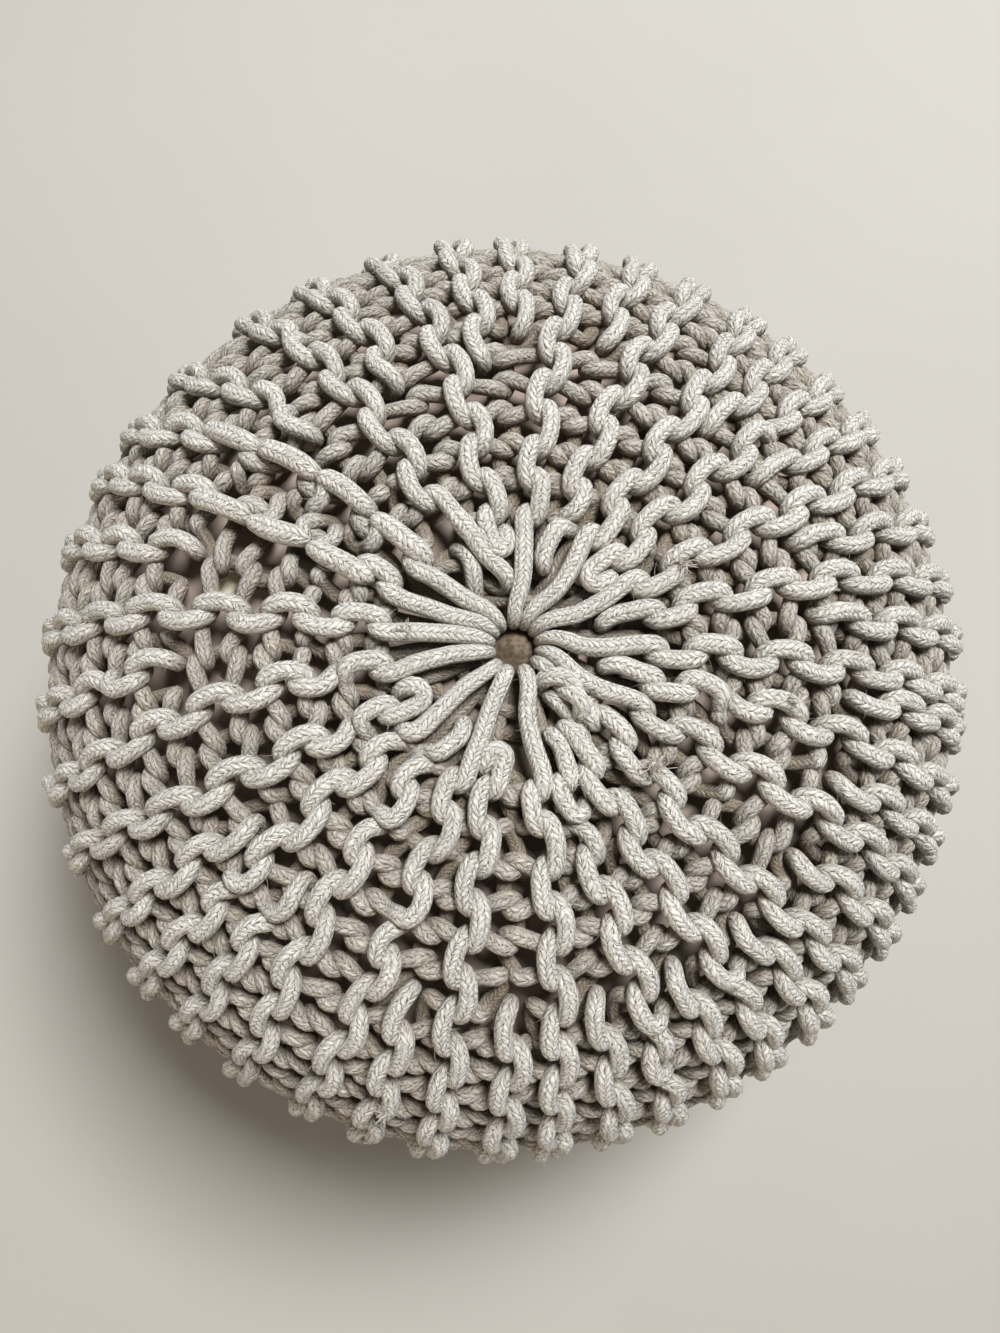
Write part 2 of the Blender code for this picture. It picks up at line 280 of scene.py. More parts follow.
def ridge_table():
    """Every ridge as its four angles and its kind, in order of its angle at the side."""
    rows = [(*(eye or (top, top)), top, side, SPOKE if eye else MEDIUM) for *eye, top, side in LONG_RIDGES]
    rows += [(0.0, 0.0, 0.0, side, SHORT) for side in SHORT_RIDGES]
    return sorted(rows, key=lambda row: row[3])


RIDGES = ridge_table()


def long_beside(k, side):
    j = (k + side) % len(RIDGES)
    while RIDGES[j][4] == SHORT:
        j = (j + side) % len(RIDGES)
    return j


def ridge_angle(k, distance):
    """A long ridge's angle runs straight between its four set places. A short one keeps its share of the
    way between the long ridges beside it."""
    *angles, kind = RIDGES[k]
    if kind != SHORT:
        return np.interp(from_end(distance), SET_DISTANCES, angles)
    before, after = long_beside(k, -1), long_beside(k, 1)
    wrap = 360.0 if after < before else 0.0
    share = (angles[3] - RIDGES[before][3]) / (RIDGES[after][3] + wrap - RIDGES[before][3])
    return ridge_angle(before, distance) * (1 - share) + (ridge_angle(after, distance) + wrap) * share


def gap_to(k, distance, side):
    """Distance along the surface to the next ridge on that side. A short ridge counts only where it
    runs."""
    start = stitch_at(SHORT_START - 0.5)
    here, beside = ridge_angle(k, distance), (k + side) % len(RIDGES)
    near, far = ((side * (ridge_angle(j, distance) - here)) % 360.0 for j in (beside, long_beside(k, side)))
    if RIDGES[beside][4] != SHORT:
        far = near
    on = smooth_step((from_end(distance) - start) / (PITCH * 0.5))
    return np.radians(near * on + far * (1 - on)) * on_meridian(distance, 1)


# The path of the cord.

def row_points(k, row, first, last, rng):
    """The path of one knitted row beside ridge k, as (distance, across, up, hold) from its arc `first` to
    its arc `last`. Arcs lie by turns in front on the ridge and at the back in the valley, half a stitch
    apart. Each is the same profile, mirrored about its middle and turned over at the back, and a leg joins
    each to the next."""
    side = -1 if row == 0 else 1
    arcs = np.arange(first, last + 1)
    count = len(arcs)
    front = (arcs % 2 == 1 - row)[:, None]
    sign = np.where(front, 1.0, -1.0)
    centre = stitch_at(arcs) + rng.normal(0, STITCH_SPREAD, count)
    local = (stitch_at(arcs + 1) - stitch_at(arcs - 1))[:, None]
    wide, shift_across, shift_up, turn = (rng.normal(*chance, count)[:, None] for chance in ARC_CHANCE)
    seam_row, seam_start, seam_end = SEAMS.get(RIDGES[k][3], (row, 0.0, 0.0))
    seam = ((centre > seam_start) & (centre < seam_end))[:, None]
    own = seam & (row == seam_row)
    wide = wide * np.where(own, np.where(front, SEAM_FRONT_WIDTH, SEAM_BACK_WIDTH), 1.0)
    profile = np.concatenate([ARC[:0:-1] * (-1, 1, 1), ARC])
    along = profile[:, 0] * wide * (local / ARC_STITCH)
    distance = centre[:, None] + along
    gap = gap_to(k, np.clip(distance, GAP_START, FULL - GAP_START), side)
    offset = np.minimum(np.where(front, FRONT_OFFSET, BACK_OFFSET), MOST_OFFSET * gap)
    offset = offset * np.where(own & front, SEAM_OFFSET, 1.0)
    across = np.where(front, 0.0, side * gap / 2) - side * sign * (profile[:, 1] * offset + turn * along)
    across = across + shift_across
    outwards = np.where(centre < FULL / 2, 1.0, -1.0)[:, None]
    up = sign * profile[:, 2] * np.clip(gap / ARC_GAP, 0.75, 1.0)
    up = up + np.where(front, ARC_TILT * along * outwards, -VALLEY_DROP)
    up = up + np.where(front, np.where(own, SEAM_RISE, np.where(seam, BESIDE_SEAM_DROP, 0.0)), 0.0)
    hold = np.where(front, ARC_HOLD, 0.0) * np.where(seam, SEAM_HOLD, 1.0)
    points = stacked(distance, across, up + shift_up, hold)
    middle = (centre[:-1] + centre[1:]) / 2
    leg = gap_to(k, np.clip(middle, GAP_START, FULL - GAP_START), side)
    legs = stacked(middle, side * leg / 4, -VALLEY_DROP / 2, 0.0)
    return np.concatenate([np.concatenate([points[:-1], legs[:, None]], 1).reshape(-1, 4), points[-1]])


def curve_through(a, b, c, d, t):
    """Catmull-Rom: the place at share t between b and c, with the slopes there half of a to c and of b to
    d."""
    return 0.5 * (2 * b + (c - a) * t + (2 * a - 5 * b + 4 * c - d) * t**2 + (3 * b - a - 3 * c + d) * t**3)


def smooth_path(points, step):
    """A Catmull-Rom curve through the points, sampled evenly by that step over its first three
    coordinates."""
    ends = np.concatenate([[2 * points[0] - points[1]], points, [2 * points[-1] - points[-2]]])
    t = np.linspace(0, 1, 10, endpoint=False)[None, :, None]
    curve = curve_through(*(ends[i:len(ends) - 3 + i, None] for i in range(4)), t)
    return evenly(np.concatenate([curve.reshape(-1, points.shape[1]), points[-1:]]), step)


def closed_curve(ring, many):
    """A closed Catmull-Rom curve through the rows of the ring, in that many steps from each to the next."""
    t = np.arange(many)[None, :, None] / many
    corners = (np.roll(ring, shift, axis=0)[:, None] for shift in (1, 0, -1, -2))
    return curve_through(*corners, t).reshape(-1, ring.shape[1])


def evenly(line, step):
    run = np.concatenate([[0.0], np.cumsum(np.linalg.norm(np.diff(line[:, :3], axis=0), axis=1))])
    at = np.linspace(0.0, run[-1], max(3, int(round(run[-1] / step)) + 1))
    return np.stack([np.interp(at, run, column) for column in line.T], 1)


def closed_loop(places, angle, path, rim, step):
    """A loop's samples at even steps. Each is its place, its outward direction, its distance, across, up
    and hold on the path, and its radius at the rim."""
    columns = [places, outward(path[:, 0], angle), path, np.full((len(path), 1), rim)]
    placed = np.concatenate(columns, 1)
    return evenly(np.concatenate([placed, placed[:1]]), step)[:-1]


def mirrored(points):
    return points * (-1, 1, 1, 1) + (FULL, 0, 0, 0)


def ridge_loop(k, rng):
    """One closed loop of cord for ridge k: up the row before it, over at the top, down the row after it and
    back at the base. A spoke ridge turns round in the eye, the others dive under their own first arc."""
    kind = RIDGES[k][4]
    knotted = kind == SPOKE and RIDGES[k][0] == KNOTTED
    begin = (0, 0, SHORT_START + k % 2)[kind]
    begin, start_path = STARTS.get(RIDGES[k][2], (begin, None)) if kind == MEDIUM else (begin, None)
    before = row_points(k, 0, -1 if knotted else begin, LAST - begin, rng)[4:-4]
    after = row_points(k, 1, begin, LAST - begin, rng)[4:-4]
    dive = DIVE * (1, FRONT_OFFSET, 1, 1) + (stitch_at(begin), 0, 0, 0)
    if kind == SPOKE:
        top, base = (KNOT_PATH if knotted else SPOKE_PATH)[::-1], SPOKE_PATH
    elif begin % 2 == 0:
        top = dive[::-1] * (1, -1, 1, 1)
        base = top[::-1]
    else:
        top, base = dive, dive[::-1]
    if start_path is not None:
        top = start_path
    points = np.concatenate([before[::-1], top, after, mirrored(base)])
    # The curve runs a little past both ends of the loop, and is cut where it meets its first point again.
    path = smooth_path(np.concatenate([points[-2:], points, points[:3]]), STEP / 3)
    off = np.linalg.norm(path[:, :3] - points[0, :3], axis=1)
    path = path[np.argmin(off[:200]):len(path) - 200 + np.argmin(off[-200:])]
    distance, across, up, _ = path.T
    depth = MIDDLE_DEPTH - up
    radius = np.maximum(on_meridian(distance, 1) - depth * on_meridian(distance, 3), 0.008)
    angle = ridge_angle(k, distance) + np.degrees(across / radius)
    places = eye_shifted(surface(distance, angle, depth), distance)
    return closed_loop(places, angle, path, rim_radius(k), STEP)


def eye_shifted(places, distance):
    """The eye lies a little off the pole, towards +Y, by a smooth step of the distance."""
    return places + smooth_step((SHIFT_FROM - distance) / SHIFT_OVER)[:, None] * (0, EYE_SHIFT, 0)


def rim_radius(k):
    """The cord's radius where it enters the eye: it fills its share of the rim between the spokes beside
    it."""
    rims = np.array([row[0] for row in RIDGES if row[4] == SPOKE])
    ahead, behind = ((side * (rims - RIDGES[k][0])) % 360 for side in (1, -1))
    share = (ahead[ahead > 0.01].min() + behind[behind > 0.01].min()) / 2
    return float(np.clip(RIM_FILL * math.radians(share) * RIM, RIM_THINNEST, RIM_THICKEST))


def loose_loop(strand):
    """A strand laid along given places: a closed Catmull-Rom curve through its set places."""
    right, down, up = closed_curve(np.array(strand) / 1000, 8).T
    far, angle = np.hypot(right, down), np.degrees(np.arctan2(down, right))
    places = eye_shifted(surface(far, angle, MIDDLE_DEPTH - up), far)
    return closed_loop(places, angle, stacked(far, 0.0, up, 3.0), LOOSE_RADIUS, STEP * 0.7)


def gather_loop(distance, up, rng):
    """The gathering cord: a ring about the pole that the spokes lie over, wandering a little in and out and
    up and down."""
    turn = np.linspace(0, 2 * np.pi, 48, endpoint=False)
    waves = sum(rng.normal(0, GATHER_WANDER, 2)[:, None] * np.sin(n * turn + rng.uniform(0, 6.3))
                for n in (2, 3, 5, 7))
    far = distance + waves[0]
    depth, angle = MIDDLE_DEPTH - up - 0.6 * waves[1], np.degrees(turn)
    path = stacked(far, 0.0, MIDDLE_DEPTH - depth, 1.0)
    return closed_loop(surface(far, angle, depth), angle, path, GATHER_RADIUS, STEP)


# Settling the cords against each other.

def following(start, count):
    """The sample after each, for loops laid end to end."""
    after = np.arange(count.sum()) + 1
    after[start + count - 1] = start
    return after


def near_pairs(points, loop, place, count, reach, apart):
    """Pairs of samples closer than reach, found by sorting them into cells of that size. Samples near each
    other along one cord are left out."""
    cell = np.floor(points / reach).astype(np.int64)
    cell -= cell.min(0) - 1
    size = cell.max(0) + 2
    key = (cell[:, 0] * size[1] + cell[:, 1]) * size[2] + cell[:, 2]
    order = np.argsort(key, kind="stable")
    in_order = key[order]
    found = []
    for dx, dy, dz in np.ndindex(3, 3, 3):
        shift = ((dx - 1) * size[1] + dy - 1) * size[2] + dz - 1
        if shift < 0:
            continue
        low = np.searchsorted(in_order, key + shift, "left")
        many = np.searchsorted(in_order, key + shift, "right") - low
        one = np.repeat(np.arange(len(points)), many)
        within = np.arange(many.sum()) - np.repeat(np.cumsum(many) - many, many)
        other = order[np.repeat(low, many) + within]
        keep = ((points[one] - points[other]) ** 2).sum(1) < reach * reach
        if shift == 0:
            keep &= other > one
        one, other = one[keep], other[keep]
        between = np.abs(place[one] - place[other])
        between = np.minimum(between, count[one] - between)
        keep = (loop[one] != loop[other]) | (between > apart)
        found.append(np.stack([one[keep], other[keep]]))
    return np.concatenate(found, axis=1)


def gathered(index, values, count):
    return np.stack([np.bincount(index, column, count) for column in values.T], 1)


def cord_radius(distance, up, rim, hold):
    """The soft cord is fullest on a ridge's front, drawn thinner where it dives, doubled on a seam (held
    firmly away from the eye), and squeezed to the rim's radius where it enters the eye."""
    end = from_end(distance)
    free = np.interp(up, [-0.003, 0.004], [DEEP_RADIUS, FRONT_RADIUS])
    free = free * np.interp(end, [0.022, 0.034, 0.05], [0.93, 0.96, 1.0])
    free = free * (1 + 0.2 * np.clip(hold - 1, 0, 0.9) * (end > 0.055))
    away = np.clip((end - 0.0095) / 0.013, 0, 1)
    return rim + (free - rim) * away


def resampled(data, start, count):
    """Each loop of cord sampled anew along a Catmull-Rom curve, closer together where it bends: a sample
    for each so many millimetres of run and for each so much turn."""
    loops = []
    for ring in np.split(data, start[1:]):
        curve = closed_curve(ring, 6)
        steps = np.roll(curve, -1, axis=0)[:, :3] - curve[:, :3]
        turn = np.linalg.norm(unit(steps) - unit(np.roll(steps, 1, axis=0)), axis=1)
        bend = np.mean([np.roll(turn, n) for n in range(-6, 7)], axis=0)
        need = np.linalg.norm(steps, axis=1) / STRAIGHT_STEP + bend / BEND_STEP
        run = np.concatenate([[0.0], np.cumsum(need)])
        at = np.linspace(0.0, run[-1], int(np.ceil(run[-1])), endpoint=False)
        columns = np.concatenate([curve, curve[:1]]).T
        loops.append(np.stack([np.interp(at, run, column) for column in columns], 1))
    return loops


@functools.lru_cache(maxsize=2)
def settled_cords(steps, seed):
    """Every loop of cord, laid by its formula, then settled: samples that overlap push each other apart,
    each piece of cord goes back to its length, bends even out, and nothing leaves the thickness of the
    knit. Whole arrays, a fixed number of rounds, and seeded."""
    rng = np.random.default_rng(seed)
    loops = [ridge_loop(k, rng) for k in range(len(RIDGES))]
    loops += [gather_loop(*place, rng) for place in GATHERS]
    loops += [loose_loop(strand) for strand in LOOSE_STRANDS]
    data = np.concatenate(loops)
    x, normal, (distance, _, up, hold, rim) = data[:, :3].copy(), unit(data[:, 3:6]), data[:, 6:].T
    count = np.array([len(loop) for loop in loops])
    start = np.cumsum(count) - count
    loop = np.repeat(np.arange(len(loops)), count)
    place = np.arange(len(x)) - start[loop]
    after = following(start, count)
    before = np.empty_like(after)
    before[after] = np.arange(len(x))
    crest = x + normal * (MIDDLE_DEPTH - up)[:, None]
    rest = np.linalg.norm(x[after] - x, axis=1) * LENGTH_KEPT
    radius = cord_radius(distance, up, rim, hold)
    soft = radius * SOFTNESS
    front_limit = np.where((hold > 2.5) & (up > 0.0061), 0.0, FRONT_LIMIT)
    lumps = sum(np.sin(place * step + rng.uniform(0, 6.3, len(loops))[loop]) for step in (0.31, 0.47, 0.83))
    radius = radius * (1 + LUMPINESS * lumps)
    home, anchor = x.copy(), np.interp(hold, [0, 1, 2, 3], [0.02, 0.10, 0.30, 0.90])[:, None]
    for step in range(steps):
        if step % 20 == 0:
            one, other = near_pairs(x, loop, place, count[loop], REACH, SAME_CORD)
        apart = x[one] - x[other]
        far = np.sqrt((apart * apart).sum(1)) + 1e-9
        over = soft[one] + soft[other] - far
        hit = over > 0
        push = apart[hit] * (0.5 * over[hit] / far[hit])[:, None]
        touches = sum(np.bincount(ends[hit], minlength=len(x)) for ends in (one, other))
        push = gathered(one[hit], push, len(x)) - gathered(other[hit], push, len(x))
        x = x + push / np.maximum(1.0, touches / CROWDED)[:, None]
        for _ in range(2):
            along = x[after] - x
            long = np.sqrt((along * along).sum(1)) + 1e-9
            pull = along * (PULL * (long - rest) / long)[:, None]
            x = x + pull - pull[before]
        x = x + EVENING * ((x[after] + x[before]) / 2 - x)
        depth = -((x - crest) * normal).sum(1)
        x = x + normal * (depth - np.clip(depth, front_limit, BACK_LIMIT))[:, None]
        x = x + anchor * (home - x)
    for _ in range(2):
        x = x + LAST_EVENING * ((x[after] + x[before]) / 2 - x)
    depth = -((x - crest) * normal).sum(1)
    loops = resampled(np.concatenate([x, normal, radius[:, None], depth[:, None]], 1), start, count)
    data, count = np.concatenate(loops), np.array([len(loop) for loop in loops])
    start = np.cumsum(count) - count
    return {"x": data[:, :3], "normal": unit(data[:, 3:6]), "radius": data[:, 6], "depth": data[:, 7],
            "count": count, "start": start, "after": following(start, count)}


# Meshes.

def mesh_object(name, vertices, faces, sizes, uv=None, **values):
    """A smooth mesh object at the origin from whole arrays: vertex places, face corners one after another,
    corners in each face, the UV of each corner, and named values at the vertices."""
    mesh = bpy.data.meshes.new(name)
    mesh.vertices.add(len(vertices))
    mesh.vertices.foreach_set("co", np.asarray(vertices, np.float32).ravel())
    mesh.loops.add(len(faces))
    mesh.loops.foreach_set("vertex_index", np.asarray(faces, np.int32))
    mesh.polygons.add(len(sizes))
    mesh.polygons.foreach_set("loop_start", (np.cumsum(sizes) - sizes).astype(np.int32))
    mesh.update(calc_edges=True)
    if uv is not None:
        layer = mesh.uv_layers.new(name="along_cord")
        layer.data.foreach_set("uv", np.asarray(uv, np.float32).ravel())
    for value_name, each in values.items():
        attribute = mesh.attributes.new(value_name, "FLOAT", "POINT")
        attribute.data.foreach_set("value", np.asarray(each, np.float32).ravel())
    mesh.shade_smooth()
    mesh.validate()
    obj = bpy.data.objects.new(name, mesh)
    bpy.context.scene.collection.objects.link(obj)
    return obj


def swung(vector, a, b):
    """The vectors turned as the shortest turn takes unit vector a to b."""
    axis = np.cross(a, b)
    cosine = (a * b).sum(1, keepdims=True)
    lifted = axis * (axis * vector).sum(1, keepdims=True) / np.maximum(1 + cosine, 1e-6)
    return vector * cosine + np.cross(axis, vector) + lifted


def carried_frames(x, start, count, first_side):
    """Two directions square to each loop of cord, carried along it without twist by turning them with the
    tangent from each sample to the next. The twist left over at the end of a loop is spread over it. All
    loops go forward together."""
    most = count.max()
    number = np.arange(most)[None]
    ahead, behind = (start[:, None] + (number + step) % count[:, None] for step in (1, -1))
    tangent = unit(x[ahead] - x[behind])
    tangent[number >= count[:, None]] = 0
    side = np.zeros_like(tangent)
    side[:, 0] = unit(first_side - (first_side * tangent[:, 0]).sum(1, keepdims=True) * tangent[:, 0])
    for i in range(1, most):
        side[:, i] = swung(side[:, i - 1], tangent[:, i - 1], tangent[:, i])
    each = np.arange(len(count))
    closing = swung(side[each, count - 1], tangent[each, count - 1], tangent[:, 0])
    other = np.cross(tangent[:, 0], side[:, 0])
    twist = np.arctan2((closing * other).sum(1), (closing * side[:, 0]).sum(1))
    turn = -twist[:, None] * number / count[:, None]
    third = np.cross(tangent, side)
    side = side * np.cos(turn)[..., None] + third * np.sin(turn)[..., None]
    keep = number < count[:, None]
    return tangent[keep], unit(side[keep])


def tube_loops(name, cords, chosen):
    """Closed tubes of round section carried along the chosen loops. The UV gives the share of the way
    round, and the distance along in braid pitches, a whole number of them in each loop. Whatever would pass
    the floor lies flat on it."""
    start, count = cords["start"][chosen], cords["count"][chosen]
    index = np.concatenate([np.arange(s, s + c) for s, c in zip(start, count)])
    x, normal, radius, side, third, along, along_after = (
        cords[part][index] for part in ("x", "normal", "radius", "side", "third", "along", "along_after")
    )
    after = following(np.cumsum(count) - count, count)[:, None]
    turn = np.arange(TUBE_SIDES) * 2 * np.pi / TUBE_SIDES
    ring = np.cos(turn)[None, :, None] * side[:, None] + np.sin(turn)[None, :, None] * third[:, None]
    vertices = x[:, None] + radius[:, None, None] * ring
    vertices[..., 2] = np.maximum(vertices[..., 2], 0.0)
    i, j = np.arange(len(index))[:, None], np.arange(TUBE_SIDES)[None]
    k = (j + 1) % TUBE_SIDES
    faces = stacked(i * TUBE_SIDES + j, i * TUBE_SIDES + k, after * TUBE_SIDES + k, after * TUBE_SIDES + j)
    around = np.broadcast_to(j / TUBE_SIDES, (len(index), TUBE_SIDES))
    corners = ((0, along), (1, along), (1, along_after), (0, along_after))
    uv = np.stack([stacked(around + share / TUBE_SIDES, line[:, None]) for share, line in corners], 2)
    # How deep each vertex lies in the knit: the cord material paints shade by it, browner and darker further
    # down.
    depth = cords["depth"][index][:, None] - radius[:, None] * (ring * normal[:, None]).sum(-1)
    sizes = np.full(faces.shape[0] * TUBE_SIDES, 4)
    uv, vertices = uv.reshape(-1, 2), vertices.reshape(-1, 3)
    return mesh_object(name, vertices, faces.ravel(), sizes, uv, depth_in_knit=depth)


@functools.lru_cache(maxsize=2)
def framed_cords(steps, seed):
    """The settled cords with the two directions square to them, and the distance along in braid pitches."""
    cords = dict(settled_cords(steps, seed))
    x, start, count = cords["x"], cords["start"], cords["count"]
    tangent, side = carried_frames(x, start, count, cords["normal"][start])
    cords["side"], cords["third"] = side, unit(np.cross(tangent, side))
    length = np.linalg.norm(x[cords["after"]] - x, axis=1)
    run = np.cumsum(length) - length
    whole = np.add.reduceat(length, start)
    loop = np.repeat(np.arange(len(count)), count)
    share = (run - run[start][loop]) / whole[loop]
    pitches = np.round(whole / BRAID_PITCH)
    cords["along"] = share * pitches[loop]
    cords["along_after"] = cords["along"] + length / whole[loop] * pitches[loop]
    return cords


def bent_fibres(name, roots, ways, lengths, thickness, curl, rng):
    """Thin fibres, each a three-sided tube along five places: out from its root by the share t of its
    length, and aside by curl times t squared, growing thinner to a third at its tip."""
    count = len(roots)
    t = np.linspace(0, 1, 5)[None, :, None]
    aside = unit(np.cross(ways, rng.normal(size=(count, 3))))
    line = roots[:, None] + lengths[:, None, None] * (ways[:, None] * t + aside[:, None] * curl * t**2)
    first = unit(np.cross(ways, aside))[:, None, None]
    turn = (np.arange(3) * 2 * np.pi / 3)[None, None, :, None]
    ring = first * np.cos(turn) + aside[:, None, None] * np.sin(turn)
    thick = np.asarray(thickness).reshape(-1, 1, 1, 1) / 2
    vertices = line[:, :, None] + ring * thick * (1 - 0.67 * t[..., None])
    base = np.arange(count)[:, None, None] * 15 + np.arange(4)[None, :, None] * 3
    j = np.arange(3)[None, None]
    quads = stacked(base + j, base + (j + 1) % 3, base + 3 + (j + 1) % 3, base + 3 + j).reshape(-1, 4)
    ends = np.arange(count)[:, None] * 15 + np.array([[2, 1, 0, 12, 13, 14]])
    sizes = np.concatenate([np.full(len(quads), 4), np.full(2 * count, 3)])
    return mesh_object(name, vertices.reshape(-1, 3), np.concatenate([quads.ravel(), ends.ravel()]), sizes)


def fuzz(cords, many, rng):
    """Short fibres that stand on the cords' fronts, more along the cord than out from it."""
    shown = np.flatnonzero((cords["depth"] < 0.010) & (cords["x"][:, 2] > 0.02))
    chosen = rng.choice(shown, many)
    turn = rng.uniform(0, 2 * np.pi, many)[:, None]
    side, third = cords["side"][chosen], cords["third"][chosen]
    out = unit(side * np.cos(turn) + third * np.sin(turn) + 0.5 * cords["normal"][chosen])
    roots = cords["x"][chosen] + out * cords["radius"][chosen][:, None] * 0.92
    along = unit(np.cross(side, third)) * rng.normal(0, 0.9, (many, 1))
    ways = unit(out * 0.5 + along + rng.normal(0, 0.35, (many, 3)))
    lengths, thickness = rng.uniform(*FUZZ_LENGTHS, many), rng.uniform(*FUZZ_THICKNESS, many)
    return bent_fibres("cord_fuzz", roots, ways, lengths, thickness, FUZZ_CURL, rng)


def frays(cords, rng):
    """The yarns of each frayed end, spread in a tuft about the way that it lies."""
    roots, ways, lengths = [], [], []
    for distance, angle, lean, length, many in FRAYED_ENDS:
        near = np.argmin(np.linalg.norm(cords["x"] - surface(distance, angle, 0.006), axis=1))
        up, lean = cords["normal"][near], math.radians(lean)
        level = np.cross(up, (0, 0, 1))
        tuft = unit(level * math.cos(lean) + np.cross(level, up) * math.sin(lean) + 0.45 * up)
        root = cords["x"][near] + up * cords["radius"][near] * 0.75
        roots.append(root + rng.normal(0, 0.0010, (many, 3)))
        ways.append(unit(tuft + rng.normal(0, 0.28, (many, 3))))
        lengths.append(length * rng.uniform(0.6, 1.1, many))
    roots, ways, lengths = (np.concatenate(parts) for parts in (roots, ways, lengths))
    return bent_fibres("frayed_ends", roots, ways, lengths, FRAY_THICKNESS, FRAY_CURL, rng)


def casing_form(depth):
    """A closed form under the knit: the pouf's surface at an even depth, on a grid of distance and angle,
    closed by a fan at each pole."""
    distance = np.linspace(0.012, FULL - 0.012, 70)
    angle = np.arange(0, 360, 5.0)
    rings = surface(distance[:, None], angle[None], depth)
    poles = surface(np.array([0.0, FULL]), np.zeros(2), depth)
    across = len(angle)
    i, j = np.arange(len(distance) - 1)[:, None] * across, np.arange(across)[None]
    k = (j + 1) % across
    quads = stacked(i + j, i + k, i + across + k, i + across + j).reshape(-1, 4)
    top, last = rings[..., 0].size, (len(distance) - 1) * across
    j, k = j.ravel(), k.ravel()
    fans = np.concatenate([stacked(k, j, top), stacked(last + j, last + k, top + 1)])
    faces = np.concatenate([quads[:, ::-1].ravel(), fans[:, ::-1].ravel()])
    sizes = np.concatenate([np.full(len(quads), 4), np.full(len(fans), 3)])
    return mesh_object("filled_casing_cloth", np.concatenate([rings.reshape(-1, 3), poles]), faces, sizes)


def vertex_places(mesh):
    places = np.empty(len(mesh.vertices) * 3, np.float32)
    mesh.vertices.foreach_get("co", places)
    return places.reshape(-1, 3)


def crown_in_eye(obj):
    """The filling pushes the casing up in the open eye: a bell about the pole."""
    places = vertex_places(obj.data)
    off = np.hypot(places[:, 0] - TOP_LEAN, places[:, 1] - EYE_SHIFT)
    bell = CROWN_HEIGHT * np.exp(-((off / CROWN_SPREAD) ** 2))
    places[:, 2] += np.where(places[:, 2] > WIDEST_HEIGHT, bell, 0)
    obj.data.vertices.foreach_set("co", places.ravel())
    obj.data.update()


def puff(obj, cap):
    """A voxel remesh, a short cloth simulation with pressure and no gravity, each point held within the cap,
    the result applied, and one subdivision."""
    scene = bpy.context.scene
    bpy.context.view_layer.objects.active = obj
    for other in scene.objects:
        other.select_set(other == obj)
    remesh = obj.modifiers.new("remesh", "REMESH")
    remesh.mode, remesh.voxel_size = "VOXEL", VOXEL
    bpy.ops.object.modifier_apply(modifier="remesh")
    rest = vertex_places(obj.data)
    cloth = obj.modifiers.new("cloth", "CLOTH")
    cloth.settings.use_pressure, cloth.settings.uniform_pressure_force = True, PRESSURE
    cloth.settings.effector_weights.gravity = 0.0
    cloth.settings.quality = 5
    cloth.point_cache.frame_start, cloth.point_cache.frame_end = 1, FRAMES
    for number in range(1, FRAMES + 1):
        scene.frame_set(number)
    shift = vertex_places(obj.evaluated_get(bpy.context.evaluated_depsgraph_get()).data) - rest
    far = np.maximum(np.linalg.norm(shift, axis=1, keepdims=True), 1e-9)
    obj.modifiers.remove(cloth)
    scene.frame_set(1)
    obj.data.vertices.foreach_set("co", (rest + shift / far * np.minimum(far, cap)).ravel())
    smooth = obj.modifiers.new("smooth", "SUBSURF")
    smooth.levels = smooth.render_levels = 1
    bpy.ops.object.modifier_apply(modifier="smooth")
    obj.data.shade_smooth()


# Materials.

COLOUR = {"data_type": "RGBA", "output": 2}
SMOOTH = {"interpolation_type": "SMOOTHSTEP"}


def add_node(tree, kind, *inputs, output=0, **settings):
    """Adds a node with its settings and feeds its inputs in order, each from a socket or a value. A
    dictionary feeds the sockets that it names. A kind may name its operation after a dot. Gives the output
    asked for."""
    kind, _, operation = kind.partition(".")
    node = tree.nodes.new("ShaderNode" + kind)
    if operation:
        node.operation = operation
    for name, value in settings.items():
        setattr(node, name, value)
    for number, given in enumerate(inputs):
        for socket, source in given.items() if isinstance(given, dict) else [(number, given)]:
            if isinstance(source, bpy.types.NodeSocket):
                tree.links.new(source, node.inputs[socket])
            else:
                node.inputs[socket].default_value = source
    return node.outputs[output] if node.outputs else None


def new_material(name):
    """A material with an empty tree, the function that adds a node to it, and the object's coordinates."""
    material = bpy.data.materials.new(name)
    material.use_nodes = True
    material.node_tree.nodes.clear()
    add = functools.partial(add_node, material.node_tree)
    return material, add, add("TexCoord", output="Object")


